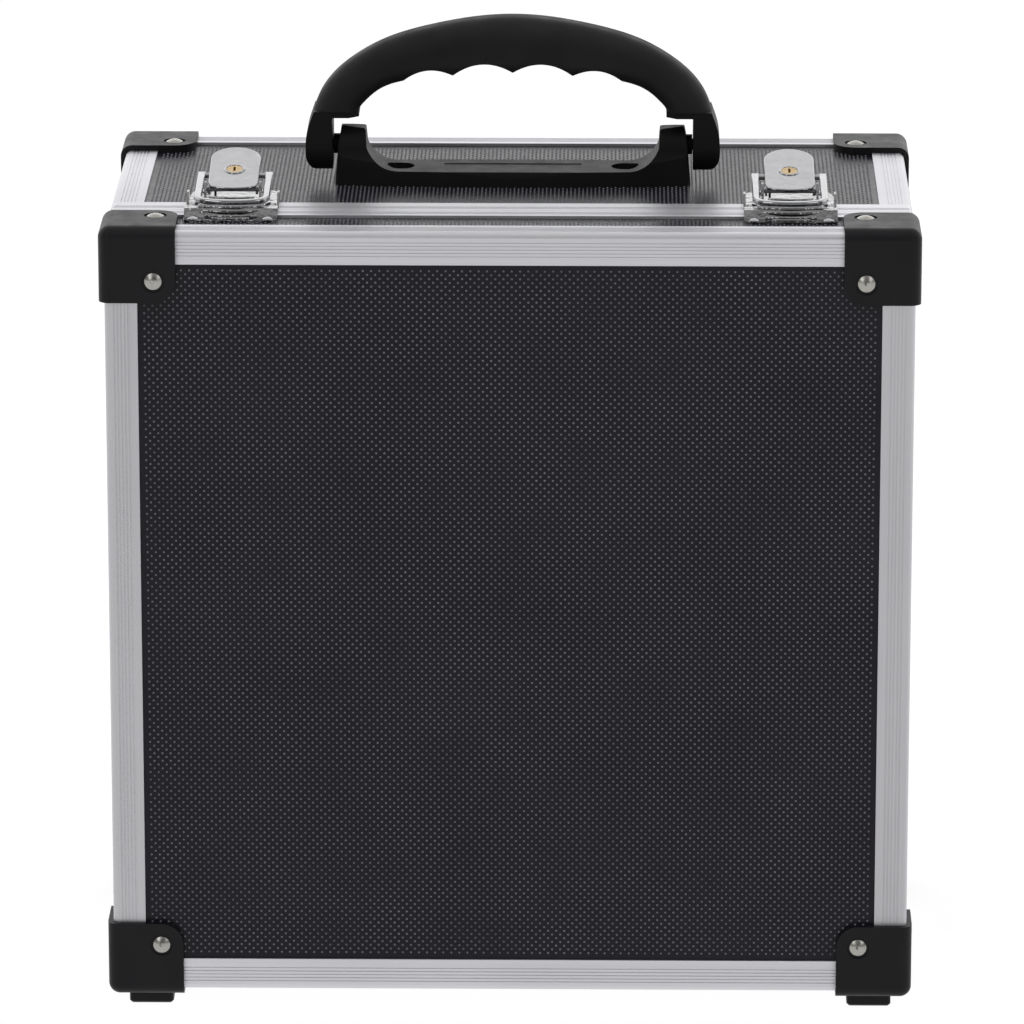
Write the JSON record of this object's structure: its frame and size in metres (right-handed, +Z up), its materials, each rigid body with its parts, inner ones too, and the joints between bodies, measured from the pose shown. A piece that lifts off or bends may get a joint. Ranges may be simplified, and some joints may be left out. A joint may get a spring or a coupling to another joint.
{
  "type": "disc storage case",
  "caption": "Upright hard case for compact discs: dotted black boards in aluminium rails, corner protectors, hinged lid, lever latches and a swinging carry handle.",
  "frame": {"origin": "on the floor under the middle of the standing case", "axes": "+Z up, +X to the viewer's right, the lid faces -Y"},
  "size_m": [0.3522, 0.1916, 0.4216],
  "materials": {
    "dotted_board": "embossed with a lattice of small raised dots",
    "aluminium": "satin anodised, ribbed along its length",
    "corner_plastic": "moulded, semi-matt",
    "handle_plastic": "moulded, semi-matt",
    "soft_grip": "soft moulded grip",
    "chrome": "bright plated",
    "nickel": "nickel plated",
    "zinc_steel": "zinc plated",
    "lock_brass": "polished",
    "lining_foam": "short-pile foam",
    "divider_plastic": "matt"
  },
  "bodies": {
    "root": {"back_level_rails": "aluminium", "back_lining": "lining_foam", "back_upright_rails": "aluminium", "body_back_panel": "dotted_board", "body_bottom_panel": "dotted_board", "body_corner_rivets": "nickel", "body_depth_rails": "aluminium", "body_fitting_rivets": "chrome", "body_frame_bottom": "aluminium", "body_frame_sides": "aluminium", "body_frame_top": "aluminium", "body_hinge_leaves": "zinc_steel", "body_side_panels": "dotted_board", "body_top_panel": "dotted_board", "corner_back_left_bottom": "corner_plastic", "corner_back_left_top": "corner_plastic", "corner_back_right_bottom": "corner_plastic", "corner_back_right_top": "corner_plastic", "disc_divider": "divider_plastic", "divider_channels": "divider_plastic", "end_linings": "lining_foam", "handle_backing_plate": "zinc_steel", "handle_base": "handle_plastic", "handle_screws": "zinc_steel", "hinge_pins": "zinc_steel", "left_latch_base": "chrome", "lever_pins": "zinc_steel", "right_latch_base": "chrome", "side_linings": "lining_foam"},
    "lid": {"corner_front_left_bottom": "corner_plastic", "corner_front_left_top": "corner_plastic", "corner_front_right_bottom": "corner_plastic", "corner_front_right_top": "corner_plastic", "front_bottom_rail": "aluminium", "front_left_rail": "aluminium", "front_right_rail": "aluminium", "front_top_rail": "aluminium", "left_keeper": "chrome", "lid_bottom_panel": "dotted_board", "lid_corner_rivets": "nickel", "lid_depth_rails": "aluminium", "lid_fitting_rivets": "chrome", "lid_foam": "lining_foam", "lid_frame_bottom": "aluminium", "lid_frame_sides": "aluminium", "lid_frame_top": "aluminium", "lid_front_panel": "dotted_board", "lid_hinge_leaves": "zinc_steel", "lid_side_panels": "dotted_board", "lid_top_panel": "dotted_board", "right_keeper": "chrome"},
    "handle": {"handle_core": "handle_plastic", "handle_grip": "soft_grip", "handle_pins": "zinc_steel"},
    "left_lever": {"left_lever": "chrome"},
    "left_bail": {"left_bail": "chrome"},
    "left_lock": {"left_lock_plug": "lock_brass"},
    "right_lever": {"right_lever": "chrome"},
    "right_bail": {"right_bail": "chrome"},
    "right_lock": {"right_lock_plug": "lock_brass"}
  },
  "joints": [
    {"name": "lid_hinge", "type": "hinge", "parent": "root", "child": "lid", "pos_m": [0, -0.0505, 0.0065], "axis": [1, 0, 0], "range_deg": [0, 95]},
    {"name": "handle_swing", "type": "hinge", "parent": "root", "child": "handle", "pos_m": [0, 0.0095, 0.3644], "axis": [1, 0, 0], "range_deg": [-90, 90]},
    {"name": "left_lever_lift", "type": "hinge", "parent": "root", "child": "left_lever", "pos_m": [-0.12, -0.0395, 0.3553], "axis": [1, 0, 0], "range_deg": [0, 110]},
    {"name": "left_bail_swing", "type": "hinge", "parent": "left_lever", "child": "left_bail", "pos_m": [-0.12, -0.02, 0.3565], "axis": [1, 0, 0], "range_deg": [-110, 0]},
    {"name": "left_lock_turn", "type": "hinge", "parent": "left_lever", "child": "left_lock", "pos_m": [-0.12, -0.02581, 0.35821], "axis": [0, -0.2079, 0.9781], "range_deg": [0, 90]},
    {"name": "right_lever_lift", "type": "hinge", "parent": "root", "child": "right_lever", "pos_m": [0.12, -0.0395, 0.3553], "axis": [1, 0, 0], "range_deg": [0, 110]},
    {"name": "right_bail_swing", "type": "hinge", "parent": "right_lever", "child": "right_bail", "pos_m": [0.12, -0.02, 0.3565], "axis": [1, 0, 0], "range_deg": [-110, 0]},
    {"name": "right_lock_turn", "type": "hinge", "parent": "right_lever", "child": "right_lock", "pos_m": [0.12, -0.02581, 0.35821], "axis": [0, -0.2079, 0.9781], "range_deg": [0, 90]}
  ],
  "couplings": [
    {"joint": "left_bail_swing", "follows": "left_lever_lift", "ratio": -1},
    {"joint": "right_bail_swing", "follows": "right_lever_lift", "ratio": -1}
  ]
}
